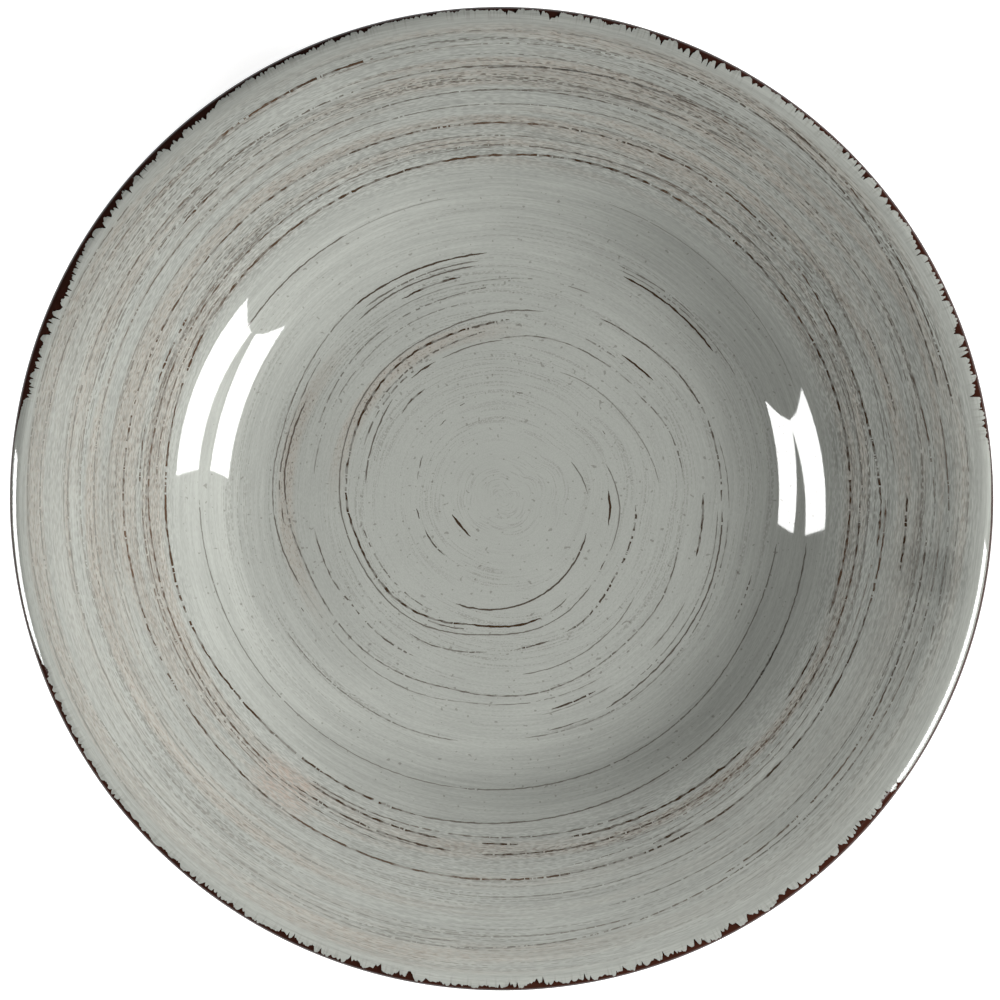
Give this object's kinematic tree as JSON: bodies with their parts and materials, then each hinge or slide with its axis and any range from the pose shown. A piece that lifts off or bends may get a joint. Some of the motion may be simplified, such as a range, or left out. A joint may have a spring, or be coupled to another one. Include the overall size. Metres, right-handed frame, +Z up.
{
  "type": "salad plate",
  "caption": "Round glazed stoneware salad plate with a shallow well, a broad sloping flange, a level rim and a foot ring, grey-green glaze brushed in rings over a dark brown coat that shows at the lip.",
  "frame": {"origin": "on the surface that the foot ring stands on, under the plate's centre", "axes": "+Z up along the plate's axis, out of the well; X and Y lie in the surface, and the picture's right is +X and its top +Y"},
  "size_m": [0.21, 0.21, 0.0255],
  "materials": {
    "stoneware": "bare fired clay, matt",
    "brown_glaze": "glossy dark brown glaze",
    "grey_glaze": "glossy opaque grey-green glaze, brushed in rings on the face"
  },
  "bodies": {
    "root": {"stoneware_body": "stoneware", "brown_base_glaze": "brown_glaze", "grey_face_glaze": "grey_glaze", "grey_back_glaze": "grey_glaze", "foot_recess_glaze": "grey_glaze"}
  },
  "joints": []
}
